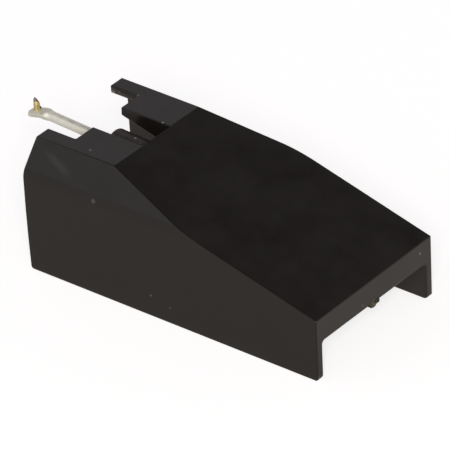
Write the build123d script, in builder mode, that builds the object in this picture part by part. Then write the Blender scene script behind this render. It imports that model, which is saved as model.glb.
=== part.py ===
from build123d import *
import math
import os

os.makedirs("parts", exist_ok=True)

# Replacement stylus of a moving-magnet record player cartridge, resting upside down with its point up.
# Millimetres, +Z up. +X runs from the point to the open rear end of the holder, and Y goes across.
# The origin lies under the middle of the whole part, on the surface that the part rests on.

# Outside of the holder, the moulded channel that slides over the cartridge body
holder_length = 20.62
holder_width = 11.0
rear_height = 4.05
crease_height = 6.44
nose_height = 8.06
nose_width = 7.88
nose_length = 5.2
nose_lean = 0.47
crease_lean = 0.33
rear_lean = 0.05
front_bow = 0.05
crease_radius = 0.9
edge_radius = 0.1
rim_radius = 0.12
rim_corner = 0.25
inner_rim_radius = 0.15

# Walls and inside of the holder
side_wall = 0.6
cheek_wall = 1.3
cheek_length = 6.6
roof_thickness = 1.45
lip_height = 1.68
arm_thickness = 0.5
bevel_wall = 0.65
inner_radius = 0.2

# Cut-out of the nose: a wide mouth between the two arms and a narrow throat between the two rails
mouth_width = 5.8
throat_width = 2.6
throat_setback = 1.58
step_radius = 0.1

# Sleeve that holds the suspension, and its boss under the roof
sleeve_setback = 2.06
sleeve_depth = 1.64
sleeve_tilt = 3.1
sleeve_diameter = 1.97
sleeve_bore = 1.4
sleeve_length = 5.3
sleeve_lip = 0.12
boss_wall = 0.65
boss_end = 0.5
boss_overlap = 0.2

# Moving arm: a drawn aluminium tube, flattened and bent at its front end
tube_diameter = 0.62
tube_bore = 0.42
tube_tail = 2.5
stylus_reach = 4.19
blade_width = 0.87
blade_thickness = 0.3
blade_edge = 0.12
blade_length = 1.12
blade_dip = 14.5
press_length = 0.75

# Suspension inside the sleeve, along its axis from the front rim
damper_start = 0.2
damper_length = 0.9
damper_clearance = 0.01
damper_edge = 0.12
bush_length = 0.4
wire_diameter = 0.1
wire_in_anchor = 1.1
anchor_length = 1.4
anchor_nose = 0.35
anchor_nose_diameter = 0.8
magnet_start = 1.25
magnet_length = 1.3
magnet_diameter = 0.9
magnet_edge = 0.06

# Shank, diamond and glue on the flattened end
shank_diameter = 0.37
shank_below = 0.06
shank_height = 0.48
shank_from_end = 0.55
head_height = 0.2
head_shift = 0.09
tip_base_diameter = 0.18
tip_height = 0.14
tip_shift = 0.045
tip_radius = 0.018
glue_diameter = 0.66
glue_height = 0.14
glue_slope = 45.0

# Stub of the moulding gate, in the middle of the lower edge of the rear lip
gate_width = 0.7
gate_depth = 0.3
gate_height = 0.07

# Places worked out from those sizes
half_width = holder_width / 2
corner_loss = rim_corner * rear_lean / rear_height
x_front = (stylus_reach - holder_length + corner_loss) / 2
x_rear = x_front + holder_length
x_fold = x_front + nose_length
x_step = x_front + throat_setback
x_cheek = x_front + cheek_length
roof_run = holder_length - rear_lean - nose_length
roof_drop = roof_thickness * math.hypot(roof_run, nose_height - rear_height) / roof_run
fold_under = nose_height - roof_drop
lip_under = rear_height - lip_height
under_slope = (fold_under - lip_under) / roof_run
arm_under = nose_height - arm_thickness
past = 2.0


def roof_under(x):
    return fold_under - (x - x_fold) * under_slope


# The cavity is made of two cores. The rear core forms the channel between the thin side walls.
rear_half = half_width - side_wall
with BuildPart() as rear_core:
    with BuildSketch(Plane.XZ):
        with BuildLine():
            Polyline(
                (x_cheek, -past),
                (x_rear + past, -past),
                (x_rear + past, roof_under(x_rear + past)),
                (x_cheek, roof_under(x_cheek)),
                close=True,
            )
        make_face()
    extrude(amount=rear_half, both=True)
    fillet(rear_core.faces().sort_by(Axis.Z)[-1].edges().filter_by(Axis.Y, reverse=True), inner_radius)

# The nose core is narrower, so that its shoulders stop the cartridge body. Its upper corners follow the bevel.
nose_half = half_width - cheek_wall
bevel_run = half_width - nose_width / 2
bevel_rise = nose_height - crease_height
bevel_length = math.hypot(bevel_run, bevel_rise)
bevel_drop = bevel_wall * bevel_length / bevel_run


def bevel_inside(y):
    return crease_height + (half_width - y) * bevel_rise / bevel_run - bevel_drop


arm_inside = half_width - (arm_under + bevel_drop - crease_height) * bevel_run / bevel_rise
x_flat = x_fold - (arm_under - fold_under) / under_slope
with BuildPart() as nose_core:
    with BuildSketch(Plane.XZ):
        with BuildLine():
            Polyline(
                (x_front - past, -past),
                (x_cheek + side_wall, -past),
                (x_cheek + side_wall, roof_under(x_cheek + side_wall)),
                (x_flat, arm_under),
                (x_front - past, arm_under),
                close=True,
            )
        make_face()
    extrude(amount=nose_half, both=True)
    with BuildSketch(Plane.YZ):
        with BuildLine():
            Polyline(
                (-nose_half, -past),
                (nose_half, -past),
                (nose_half, bevel_inside(nose_half)),
                (arm_inside, arm_under),
                (-arm_inside, arm_under),
                (-nose_half, bevel_inside(nose_half)),
                close=True,
            )
        make_face()
    extrude(amount=holder_length, both=True, mode=Mode.INTERSECT)

# Axis of the sleeve. Along it, distances count rearwards from the front rim of the sleeve.
tilt = math.radians(sleeve_tilt)
axis_direction = Vector(math.cos(tilt), 0, -math.sin(tilt))
sleeve_front = Vector(x_front + sleeve_setback, 0, nose_height - sleeve_depth)
turning_axis = Axis(sleeve_front, axis_direction)
turning_plane = Plane(origin=sleeve_front, x_dir=axis_direction, z_dir=(0, -1, 0))
cross_plane = Plane(origin=sleeve_front, x_dir=(0, 1, 0), z_dir=axis_direction)


# Holder: the outside is the side outline met by the front outline, then the cores and cuts come off.
boss_radius = sleeve_diameter / 2 + boss_wall
x_sleeve_end = sleeve_front.X + sleeve_length * math.cos(tilt)
x_boss_end = x_sleeve_end + boss_end
boss_centre = sleeve_front.Z - (x_boss_end - sleeve_front.X) * math.tan(tilt) / 2
with BuildPart() as holder:
    with BuildSketch(Plane.XZ) as side_outline:
        with BuildLine():
            ThreePointArc(
                (x_front, 0),
                (x_front - crease_lean / 2 - front_bow, crease_height / 2),
                (x_front - crease_lean, crease_height),
            )
            Polyline(
                (x_front - crease_lean, crease_height),
                (x_front - nose_lean, nose_height),
                (x_fold, nose_height),
                (x_rear - rear_lean, rear_height),
                (x_rear, 0),
                (x_front, 0),
            )
        make_face()
        fillet(side_outline.vertices().group_by(Axis.Y)[0], rim_corner)
    extrude(amount=half_width, both=True)
    with BuildSketch(Plane.YZ) as front_outline:
        with BuildLine():
            Polyline(
                (-half_width, 0),
                (half_width, 0),
                (half_width, crease_height),
                (nose_width / 2, nose_height),
                (-nose_width / 2, nose_height),
                (-half_width, crease_height),
                close=True,
            )
        make_face()
        fillet(front_outline.vertices().group_by(Axis.Y)[0], rim_radius)
        fillet(front_outline.vertices().group_by(Axis.Y)[-2], crease_radius)
    extrude(amount=holder_length, both=True, mode=Mode.INTERSECT)
    with BuildSketch(Plane.XY) as plan_outline:
        Rectangle(2 * x_rear, holder_width)
        fillet(plan_outline.vertices().group_by(Axis.X)[-1], edge_radius)
    extrude(amount=nose_height + past, dir=(-rear_lean, 0, rear_height), mode=Mode.INTERSECT)
    flat_faces = holder.faces().filter_by(GeomType.PLANE)
    upward_faces = flat_faces.filter_by(lambda face: abs(face.normal_at().Y) < 0.1 and face.normal_at().Z > 0.1)
    fillet(upward_faces.edges(), edge_radius)
    add(rear_core.part, mode=Mode.SUBTRACT)
    add(nose_core.part, mode=Mode.SUBTRACT)
    with BuildSketch(Plane.XY.offset(nose_height + past)) as cut_out:
        with Locations((x_front - past, 0)):
            Rectangle(past + throat_setback, mouth_width, align=(Align.MIN, Align.CENTER))
        with Locations((x_step, 0)):
            Rectangle(x_fold - x_step, throat_width, align=(Align.MIN, Align.CENTER))
        step_corners = cut_out.vertices().group_by(Axis.X)[1]
        fillet(step_corners.group_by(Axis.Y)[0] + step_corners.group_by(Axis.Y)[-1], step_radius)
    extrude(amount=-(past + roof_drop + arm_thickness), mode=Mode.SUBTRACT)
    with BuildSketch(Plane.YZ.offset(x_fold)):
        with Locations((0, boss_centre)):
            Circle(boss_radius)
            Rectangle(
                2 * boss_radius,
                boss_radius,
                align=(Align.CENTER, Align.MIN),
                mode=Mode.SUBTRACT,
            )
            Rectangle(
                2 * boss_radius,
                roof_under(x_fold) + boss_overlap - boss_centre,
                align=(Align.CENTER, Align.MIN),
            )
    extrude(amount=x_boss_end - x_fold)
    with BuildSketch(cross_plane):
        Circle(sleeve_diameter / 2)
    extrude(amount=sleeve_length, mode=Mode.SUBTRACT)
    rims = holder.edges().filter_by(Axis.X).group_by(Axis.Z)[0]
    inner_rims = rims.filter_by(lambda edge: abs(edge.center().Y) < rear_half + side_wall / 4)
    fillet(inner_rims, inner_rim_radius)
    with BuildSketch(Plane.XY.offset(lip_under - gate_height)):
        with Locations((x_rear - rear_lean, 0)):
            Rectangle(gate_depth, gate_width, align=(Align.MAX, Align.CENTER))
    extrude(amount=gate_height + boss_overlap)
holder.part.label = "holder"
export_step(holder.part, "parts/holder.step")

# Sleeve: a turned tube with a rounded front rim, pressed into the boss
with BuildPart() as sleeve:
    with BuildSketch(cross_plane):
        Circle(sleeve_diameter / 2)
        Circle(sleeve_bore / 2, mode=Mode.SUBTRACT)
    extrude(amount=sleeve_length)
    fillet(sleeve.faces().sort_by(Axis.X)[0].edges().sort_by(SortBy.RADIUS)[-1], sleeve_lip)
sleeve.part.label = "sleeve"
export_step(sleeve.part, "parts/sleeve.step")

# Damper: a rubber ring round the arm, at the point about which the arm swings
damper_end = damper_start + damper_length
damper_outer = sleeve_bore / 2 - damper_clearance
damper_inner = tube_diameter / 2 + damper_clearance
pivot_distance = damper_start + damper_length / 2
with BuildPart() as damper:
    with BuildSketch(turning_plane):
        with BuildLine():
            Polyline(
                (damper_start, damper_inner),
                (damper_start, damper_outer - damper_edge),
                (damper_start + damper_edge, damper_outer),
                (damper_end - damper_edge, damper_outer),
                (damper_end, damper_outer - damper_edge),
                (damper_end, damper_inner),
                close=True,
            )
        make_face()
    revolve(axis=turning_axis)
damper.part.label = "damper"
export_step(damper.part, "parts/damper.step")

# Blade of the arm: its plane leans down towards the point. It starts where the tube is pressed flat.
dip = math.radians(blade_dip)
blade_direction = Vector(-math.cos(dip), 0, -math.sin(dip))
blade_normal = Vector(-math.sin(dip), 0, math.cos(dip))
end_overhang = (blade_thickness / 2 - blade_edge) * math.sin(dip) + blade_edge * (1 - math.cos(dip))
x_blade_end = x_front - stylus_reach + end_overhang
x_bend = x_blade_end + blade_length * math.cos(dip)
bend_distance = (x_bend - sleeve_front.X) / math.cos(tilt)
bend = sleeve_front + axis_direction * bend_distance
blade_plane = Plane(origin=bend, x_dir=blade_direction, z_dir=blade_normal)
half_blade = blade_width / 2
press_start = cross_plane.offset(bend_distance + press_length)
bend_turn = math.radians(blade_dip + sleeve_tilt) / 2
bend_normal = Vector(math.cos(bend_turn - tilt), 0, math.sin(bend_turn - tilt))
bend_plane = Plane(origin=bend, x_dir=(0, 1, 0), z_dir=bend_normal)

# Shank: it stands in a hole through the blade, set back from the rounded end
shank_foot = bend + blade_direction * (blade_length - shank_from_end)
shank_plane = Plane(origin=shank_foot)
shank_bottom = -(blade_thickness / 2 + shank_below)
shank_top = blade_thickness / 2 + shank_height
shank_length = shank_top - shank_bottom
head_top = shank_top + head_height

# Flat blade with its pressed edges
with BuildPart() as blade:
    with BuildSketch(blade_plane):
        Rectangle(blade_length - half_blade, blade_width, align=(Align.MIN, Align.CENTER))
        with Locations((blade_length - half_blade, 0)):
            Circle(half_blade)
    extrude(amount=blade_thickness / 2, both=True)
    blade_faces = blade.faces().filter_by(GeomType.PLANE).sort_by(Axis.Z)
    blade_rims = blade_faces[0].edges() + blade_faces[-1].edges()
    fillet(blade_rims.filter_by(lambda edge: (edge.center() - bend).length > blade_thickness), blade_edge)

# Arm: tube, pressed transition and flat blade in one piece
with BuildPart() as cantilever:
    with BuildSketch(press_start):
        Circle(tube_diameter / 2)
    with BuildSketch(bend_plane):
        RectangleRounded(blade_width, blade_thickness, blade_edge)
    loft()
    with BuildSketch(press_start):
        Circle(tube_diameter / 2)
    extrude(amount=tube_tail - bend_distance - press_length)
    with BuildSketch(press_start):
        Circle(tube_bore / 2)
    extrude(amount=tube_tail - bend_distance - press_length, mode=Mode.SUBTRACT)
    add(blade.part)
    with BuildSketch(shank_plane.offset(shank_bottom)):
        Circle(shank_diameter / 2)
    extrude(amount=shank_length, mode=Mode.SUBTRACT)
cantilever.part.label = "cantilever"
export_step(cantilever.part, "parts/cantilever.step")

# Magnet: a ring on the tail of the arm
magnet_end = magnet_start + magnet_length
with BuildPart() as magnet:
    with BuildSketch(cross_plane.offset(magnet_start)):
        Circle(magnet_diameter / 2)
        Circle(tube_diameter / 2, mode=Mode.SUBTRACT)
    extrude(amount=magnet_length)
    rims = magnet.edges().filter_by(GeomType.CIRCLE).group_by(SortBy.RADIUS)[-1]
    chamfer(rims, magnet_edge)
magnet.part.label = "magnet"
export_step(magnet.part, "parts/magnet.step")

# Bush in the bore of the arm, which grips the front end of the tie wire at the pivot
with BuildPart() as wire_bush:
    with BuildSketch(cross_plane.offset(pivot_distance - bush_length / 2)):
        Circle(tube_bore / 2)
        Circle(wire_diameter / 2, mode=Mode.SUBTRACT)
    extrude(amount=bush_length)
wire_bush.part.label = "wire_bush"
export_step(wire_bush.part, "parts/wire_bush.step")

# Anchor: a turned plug in the rear of the sleeve, which holds the rear end of the tie wire
anchor_start = sleeve_length - anchor_length
with BuildPart() as wire_anchor:
    with BuildSketch(turning_plane):
        with BuildLine():
            Polyline(
                (anchor_start, wire_diameter / 2),
                (anchor_start, anchor_nose_diameter / 2),
                (anchor_start + anchor_nose, sleeve_bore / 2),
                (sleeve_length, sleeve_bore / 2),
                (sleeve_length, wire_diameter / 2),
                close=True,
            )
        make_face()
    revolve(axis=turning_axis)
wire_anchor.part.label = "wire_anchor"
export_step(wire_anchor.part, "parts/wire_anchor.step")

# Tie wire, straight from the bush to the anchor
wire_start = pivot_distance
with BuildPart() as tie_wire:
    with BuildSketch(cross_plane.offset(wire_start)):
        Circle(wire_diameter / 2)
    extrude(amount=anchor_start + wire_in_anchor - wire_start)
tie_wire.part.label = "tie_wire"
export_step(tie_wire.part, "parts/tie_wire.step")

# Shank: a plain pin whose head tapers askew, towards the front
with BuildPart() as stylus_shank:
    with BuildSketch(shank_plane.offset(shank_bottom)):
        Circle(shank_diameter / 2)
    extrude(amount=shank_length)
    with BuildSketch(shank_plane.offset(shank_top)):
        Circle(shank_diameter / 2)
    with BuildSketch(shank_plane.offset(head_top)):
        with Locations((-head_shift, 0)):
            Circle(tip_base_diameter / 2)
    loft()
stylus_shank.part.label = "stylus_shank"
export_step(stylus_shank.part, "parts/stylus_shank.step")

# Diamond: a small cone that carries on the taper of the head
with BuildPart() as stylus_tip:
    with BuildSketch(shank_plane.offset(head_top)):
        with Locations((-head_shift, 0)):
            Circle(tip_base_diameter / 2)
    with BuildSketch(shank_plane.offset(head_top + tip_height)):
        with Locations((-head_shift - tip_shift, 0)):
            Circle(tip_radius)
    loft()
stylus_tip.part.label = "stylus_tip"
export_step(stylus_tip.part, "parts/stylus_tip.step")

# Glue: a collar that climbs from the blade to the shank
with BuildPart() as glue_bead:
    with BuildSketch(blade_plane.offset(blade_thickness / 2)):
        with Locations((blade_length - shank_from_end, 0)):
            Circle(glue_diameter / 2)
    extrude(amount=glue_height, taper=glue_slope)
    with BuildSketch(shank_plane.offset(shank_bottom)):
        Circle(shank_diameter / 2)
    extrude(amount=shank_length, mode=Mode.SUBTRACT)
glue_bead.part.label = "glue_bead"
export_step(glue_bead.part, "parts/glue_bead.step")
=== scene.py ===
# Phono stylus assembly, upside down on the rims of its side walls, stylus up
import math

import bmesh
import bpy
from mathutils import Matrix, Vector, noise


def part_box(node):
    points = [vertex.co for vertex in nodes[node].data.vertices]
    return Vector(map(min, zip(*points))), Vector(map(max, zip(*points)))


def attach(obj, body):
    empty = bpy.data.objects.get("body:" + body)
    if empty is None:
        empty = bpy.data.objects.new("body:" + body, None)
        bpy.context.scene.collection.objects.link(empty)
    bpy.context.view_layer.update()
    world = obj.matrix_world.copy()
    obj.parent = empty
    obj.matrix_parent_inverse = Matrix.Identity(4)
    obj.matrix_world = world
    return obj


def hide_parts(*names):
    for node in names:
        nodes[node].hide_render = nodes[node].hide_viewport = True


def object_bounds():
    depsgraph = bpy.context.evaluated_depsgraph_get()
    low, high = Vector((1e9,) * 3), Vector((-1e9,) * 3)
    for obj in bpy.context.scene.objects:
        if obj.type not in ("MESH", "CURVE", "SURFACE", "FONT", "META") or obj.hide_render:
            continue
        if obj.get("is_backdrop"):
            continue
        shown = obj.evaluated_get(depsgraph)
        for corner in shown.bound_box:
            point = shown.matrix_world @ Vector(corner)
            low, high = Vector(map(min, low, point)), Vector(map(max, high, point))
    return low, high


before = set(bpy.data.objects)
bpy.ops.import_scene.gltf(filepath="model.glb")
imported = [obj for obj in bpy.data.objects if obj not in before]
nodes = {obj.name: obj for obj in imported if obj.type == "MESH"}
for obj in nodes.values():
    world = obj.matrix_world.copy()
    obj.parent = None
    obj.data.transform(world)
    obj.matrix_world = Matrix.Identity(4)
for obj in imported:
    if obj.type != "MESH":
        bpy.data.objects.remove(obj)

mm = 0.001
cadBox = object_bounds()
scene = bpy.context.scene
weldGap = 2e-7  # metres, points closer than this are merged
creaseAngle = 35  # degrees, edges that turn by more are shaded sharp
print("frame loaded:", len(nodes), "CAD nodes")


# small helpers

def hexColor(text):
    raw = [int(text[i:i + 2], 16) / 255 for i in (1, 3, 5)]  # sRGB to linear
    return tuple(c / 12.92 if c <= 0.04045 else ((c + 0.055) / 1.055) ** 2.4 for c in raw) + (1.0,)


def addNode(tree, kind, values=None):
    # a value is a setting of the node, a constant for an input, or a node or socket to link from
    node = tree.nodes.new(kind)
    for key, value in (values or {}).items():
        if isinstance(key, str) and hasattr(node, key):
            setattr(node, key, value)
        elif isinstance(value, bpy.types.Node):
            tree.links.new(value.outputs[0], node.inputs[key])
        elif isinstance(value, bpy.types.NodeSocket):
            tree.links.new(value, node.inputs[key])
        else:
            node.inputs[key].default_value = value
    return node


def newMaterial(name):
    material = bpy.data.materials.new(name)
    material.use_nodes = True
    material.node_tree.nodes.clear()
    return material, material.node_tree


def newTree(name, inputs):
    tree = bpy.data.node_groups.new(name, "GeometryNodeTree")
    for label, kind in inputs.items():
        tree.interface.new_socket(label, in_out="INPUT", socket_type="NodeSocket" + kind)
    tree.interface.new_socket("Mesh", in_out="OUTPUT", socket_type="NodeSocketGeometry")
    return tree, addNode(tree, "NodeGroupInput").outputs


def runTree(tree, piece, values):
    # runs the tree once on the piece and keeps what it makes as a plain mesh
    modifier = piece.modifiers.new("nodes", "NODES")
    modifier.node_group = tree
    for socket in tree.interface.items_tree:
        if socket.in_out == "INPUT" and socket.name in values:
            modifier[socket.identifier] = values[socket.name]
    mesh = bpy.data.meshes.new_from_object(piece.evaluated_get(bpy.context.evaluated_depsgraph_get()))
    piece.modifiers.remove(modifier)
    bm = bmesh.new()
    bm.from_mesh(mesh)
    bmesh.ops.recalc_face_normals(bm, faces=bm.faces)
    bm.to_mesh(mesh)
    bm.free()
    mesh.name = piece.name
    piece.data = mesh


def newPiece(name, mesh, material=None):
    mesh.materials.clear()
    if material:
        mesh.materials.append(material)
    piece = bpy.data.objects.new(name, mesh)
    scene.collection.objects.link(piece)
    return piece


def finishPiece(piece, body, slot, *replaced):
    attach(piece, body)
    if replaced:
        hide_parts(*replaced)
    print(piece.name, len(piece.data.polygons), "faces, rides on", body)


def mergedMesh(name, node, flat):
    # CAD meshes are loose triangles: weld them, and join the ones that lie flat within an angle
    mesh = nodes[node].data.copy()
    mesh.name = name
    bm = bmesh.new()
    bm.from_mesh(mesh)
    bmesh.ops.remove_doubles(bm, verts=bm.verts, dist=weldGap)
    bmesh.ops.dissolve_limit(bm, angle_limit=math.radians(flat), verts=bm.verts, edges=bm.edges)
    return mesh, bm


def smoothMesh(bm, mesh, angle):
    for face in bm.faces:
        face.smooth = True
    for edge in bm.edges:
        edge.smooth = edge.is_manifold and edge.calc_face_angle() < math.radians(angle)
    bm.to_mesh(mesh)
    bm.free()


def ringStack(name, rings, sides, wobble=None, closed=False):
    # rings are (x, y, z, radius) in mm from bottom to top; a radius of 0 closes an end,
    # and a closed stack goes back to its first ring, as a washer does
    bm = bmesh.new()
    loops = []
    for x, y, z, radius in rings:
        if radius == 0:
            loops.append([bm.verts.new((x * mm, y * mm, z * mm))])
            continue
        loop = []
        for i in range(sides):
            turn = 2 * math.pi * i / sides
            reach = radius * (wobble(turn, z) if wobble else 1)
            acrossX, acrossY = reach * math.cos(turn), reach * math.sin(turn)
            loop.append(bm.verts.new(((x + acrossX) * mm, (y + acrossY) * mm, z * mm)))
        loops.append(loop)
    for low, high in zip(loops, loops[1:] + (loops[:1] if closed else [])):
        for i in range(sides):
            corners = [low[i % len(low)], low[(i + 1) % len(low)],
                       high[(i + 1) % len(high)], high[i % len(high)]]
            bm.faces.new(list(dict.fromkeys(corners)))
    bmesh.ops.recalc_face_normals(bm, faces=bm.faces)
    mesh = bpy.data.meshes.new(name)
    smoothMesh(bm, mesh, creaseAngle)
    return mesh


# camera, fitted to the corners and the outline of the holder

camera = dict(
    centre=(2.7865, 0, 4.0), distance=394.06, slide=(0.7993, -0.133),  # mm, slide is sideways and up
    azimuth=38.206, elevation=32.272, roll=1.68,  # degrees
    lens=552.0, sensor=36.0, clip=(0.01, 10),  # mm, and metres for the clip
)


def makeCamera(c):
    a, e, r = (math.radians(c[k]) for k in ("azimuth", "elevation", "roll"))
    right = Vector((math.cos(a), math.sin(a), 0))
    up = Vector((-math.sin(a) * math.sin(e), math.cos(a) * math.sin(e), math.cos(e)))
    back = Vector((math.sin(a) * math.cos(e), -math.cos(a) * math.cos(e), math.sin(e)))
    place = Vector(c["centre"]) + back * c["distance"] - right * c["slide"][0] - up * c["slide"][1]
    data = bpy.data.cameras.new("camera")
    data.lens, data.sensor_width = c["lens"], c["sensor"]
    data.clip_start, data.clip_end = c["clip"]
    cam = bpy.data.objects.new("camera", data)
    scene.collection.objects.link(cam)
    cam.matrix_world = Matrix((
        right * math.cos(r) - up * math.sin(r), right * math.sin(r) + up * math.cos(r), back,
    )).transposed().to_4x4()
    cam.location = place * mm
    scene.camera = cam


# floor, world and lamps

studio = dict(
    floorSize=1.6, floorColor="#b6b6b7", floorShade="#b1b1b2", fibre=0.35,  # metres, and mm for the fibre
    eyeGlow=0.735, mirrorGlow=(0.225, 0.395),  # added for the eye, and for reflections on the left and right
    mirrorColor="#fff0e2", mirrorBand=(-7, -1),  # mm, where along y it changes from left to right
    farGlow=0.16, farReach=(20, 120),  # more for reflections of the far floor, mm from and to
    skyColor="#fff6fb", horizon=0.57, overhead=0.037,  # light of the world low down and high up
    bandStart=0.60, bandEnd=0.86, tilt=0.2,  # sines of the heights where it falls off; y tilts the band
    lampAim=(0, 0, 4),  # mm
)

lamps = {  # place and size in mm, power in watts
    "keyLamp": dict(place=(330, -435, 350), size=200, power=2.5, color="#fffaf2"),
    "frontFill": dict(place=(-280, -290, 420), size=260, power=0.04, color="#fbfff6"),
}


def makeFloor(s):
    # white card, calendered: a faint fibre mottle, no shine; the glow stands for the blown-out background
    half = s["floorSize"] / 2
    mesh = bpy.data.meshes.new("floor")
    corners = [(-half, -half, 0), (half, -half, 0), (half, half, 0), (-half, half, 0)]
    mesh.from_pydata(corners, [], [(0, 1, 2, 3)])
    material, tree = newMaterial("paleFloor")
    place = addNode(tree, "ShaderNodeTexCoord").outputs["Object"]
    fibre = addNode(tree, "ShaderNodeTexNoise", {
        "Scale": 1 / (s["fibre"] * mm), "Detail": 3.0, "Vector": place}).outputs["Fac"]
    tint = addNode(tree, "ShaderNodeMix", {
        "data_type": "RGBA", 0: fibre, 6: hexColor(s["floorShade"]), 7: hexColor(s["floorColor"])})
    path = addNode(tree, "ShaderNodeLightPath")
    mirror = addNode(tree, "ShaderNodeMath", {
        "operation": "MAXIMUM", 0: path.outputs["Is Glossy Ray"], 1: path.outputs["Is Transmission Ray"]})
    eye = addNode(tree, "ShaderNodeMath", {
        "operation": "MULTIPLY", 0: path.outputs["Is Camera Ray"], 1: s["eyeGlow"]})
    side = addNode(tree, "ShaderNodeSeparateXYZ", {0: place}).outputs["Y"]
    side = addNode(tree, "ShaderNodeMapRange", {
        "interpolation_type": "SMOOTHSTEP", "Value": side, "From Min": s["mirrorBand"][0] * mm,
        "From Max": s["mirrorBand"][1] * mm, "To Min": s["mirrorGlow"][0], "To Max": s["mirrorGlow"][1]})
    away = addNode(tree, "ShaderNodeVectorMath", {"operation": "LENGTH", 0: place}).outputs["Value"]
    far = addNode(tree, "ShaderNodeMapRange", {
        "interpolation_type": "SMOOTHSTEP", "Value": away, "From Min": s["farReach"][0] * mm,
        "From Max": s["farReach"][1] * mm, "To Min": 0.0, "To Max": s["farGlow"]})
    sideAndFar = addNode(tree, "ShaderNodeMath", {"operation": "ADD", 0: side, 1: far})
    reflected = addNode(tree, "ShaderNodeMath", {"operation": "MULTIPLY", 0: mirror, 1: sideAndFar})
    paint = addNode(tree, "ShaderNodeBsdfDiffuse", {"Color": tint.outputs[2]})
    glow = addNode(tree, "ShaderNodeEmission", {"Color": (1, 1, 1, 1), "Strength": eye})
    warm = addNode(tree, "ShaderNodeEmission", {"Color": hexColor(s["mirrorColor"]), "Strength": reflected})
    light = addNode(tree, "ShaderNodeAddShader", {0: glow, 1: warm})
    card = addNode(tree, "ShaderNodeAddShader", {0: paint, 1: light})
    addNode(tree, "ShaderNodeOutputMaterial", {"Surface": card})
    newPiece("floor", mesh, material)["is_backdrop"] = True


def makeWorld(s):
    world = bpy.data.worlds.new("studio")
    scene.world = world
    world.use_nodes = True
    tree = world.node_tree
    tree.nodes.clear()
    path = addNode(tree, "ShaderNodeLightPath")
    place = addNode(tree, "ShaderNodeTexCoord")
    split = addNode(tree, "ShaderNodeSeparateXYZ", {0: place.outputs["Generated"]})
    height = addNode(tree, "ShaderNodeMath", {
        "operation": "MULTIPLY_ADD", 0: split.outputs["Y"], 1: s["tilt"], 2: split.outputs["Z"]})
    level = addNode(tree, "ShaderNodeMapRange", {
        "interpolation_type": "SMOOTHSTEP", "Value": height,
        "From Min": s["bandStart"], "From Max": s["bandEnd"],
        "To Min": s["horizon"], "To Max": s["overhead"]})
    sky = addNode(tree, "ShaderNodeBackground", {"Color": hexColor(s["skyColor"]), "Strength": level})
    white = addNode(tree, "ShaderNodeBackground", {"Color": (1, 1, 1, 1), "Strength": 1.0})
    mix = addNode(tree, "ShaderNodeMixShader", {0: path.outputs["Is Camera Ray"], 1: sky, 2: white})
    addNode(tree, "ShaderNodeOutputWorld", {"Surface": mix})


def makeLamps(table, aim):
    for name, s in table.items():
        data = bpy.data.lights.new(name, "AREA")
        data.shape, data.size, data.energy = "DISK", s["size"] * mm, s["power"]
        data.color = hexColor(s["color"])[:3]
        lamp = bpy.data.objects.new(name, data)
        scene.collection.objects.link(lamp)
        lamp.location = Vector(s["place"]) * mm
        lamp.rotation_euler = (Vector(aim) * mm - lamp.location).to_track_quat("-Z", "Y").to_euler()


makeCamera(camera)
makeFloor(studio)
makeWorld(studio)
makeLamps(lamps, studio["lampAim"])
scene.view_settings.view_transform = "Standard"
print("camera, floor, world and lamps are in place")


def addDust(tree, place, specks, core=0.3):
    # a soft dot round each place: x, y, z and radius in mm, and strength; core is the share that doesn't fade
    dust = None
    for x, y, z, radius, strength in specks:
        away = addNode(tree, "ShaderNodeVectorMath", {
            "operation": "DISTANCE", 0: place, 1: Vector((x, y, z)) * mm})
        dot = addNode(tree, "ShaderNodeMapRange", {
            "interpolation_type": "SMOOTHSTEP", "Value": away.outputs["Value"],
            "From Min": radius * core * mm, "From Max": radius * mm, "To Min": strength, "To Max": 0.0})
        dust = addNode(tree, "ShaderNodeMath", {"operation": "MAXIMUM", 0: dust, 1: dot}) if dust else dot
    return dust


# holder: one injection moulding in black ABS

holder = dict(
    rounding=0.06, sharpAngle=45,  # mm and degrees, what the sharp edges of the mould are eased by
    creaseAngle=50, flatAngle=0.6,  # degrees, shaded sharp above the first, merged as flat below the second
    color="#120f0c", paleColor="#181512", roughness=0.33, roughnessSpread=0.07,
    grain=0.16, grainDepth=0.0012, ripple=5.0, rippleDepth=0.004, cloud=2.6,  # mm
    # painted highlight: the lighter streak along the near bevel
    paintedHighlightFrom=(-7.83, -4.33, 7.65), paintedHighlightTo=(-5.34, -5.02, 6.93), paintedHighlightWidth=0.34,  # mm
    paintedHighlightFade=(0.2, 1.1), paintedHighlightColor="#373739",  # where it fades along its length, as shares of half of it
    gate=(12.36, -0.12, 2.42), gateReach=0.70, gateFade=0.14,  # mm, the whitened break of the gate
    gateGrain=0.2, gateRagged=1.1, gateStrength=0.9, gateColor="#5f5a45",  # mm, and share of the colour
    stubFrom=11.9, stubHalf=0.42, stubHeights=(2.2, 2.366),  # mm, the plain block that stands for the gate
    markRoughness=0.4,  # what the break and the dust add to the roughness
    speckColor="#8b8982",
    specks=[  # dust seen in the photo
        (-3.625, 1.374, 8.06, 0.09, 1.0), (-6.646, 2.929, 8.06, 0.12, 0.4), (-8.46, 2.9, 7.665, 0.15, 1.0),
        (-8.0, 2.9, 7.83, 0.07, 0.5), (-7.92, 2.9, 7.63, 0.08, 0.5),
        (-5.167, -3.41, 8.06, 0.14, 0.4), (-3.418, -5.47, 6.305, 0.20, 0.22), (0.581, -5.5, 1.423, 0.09, 0.5),
        (1.946, -5.5, 1.069, 0.09, 0.25), (12.364, 4.373, 3.418, 0.13, 0.7),
        (12.371, -1.148, 2.84, 0.10, 0.35), (12.403, -5.335, 0.245, 0.20, 0.15),
    ],
)


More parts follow.
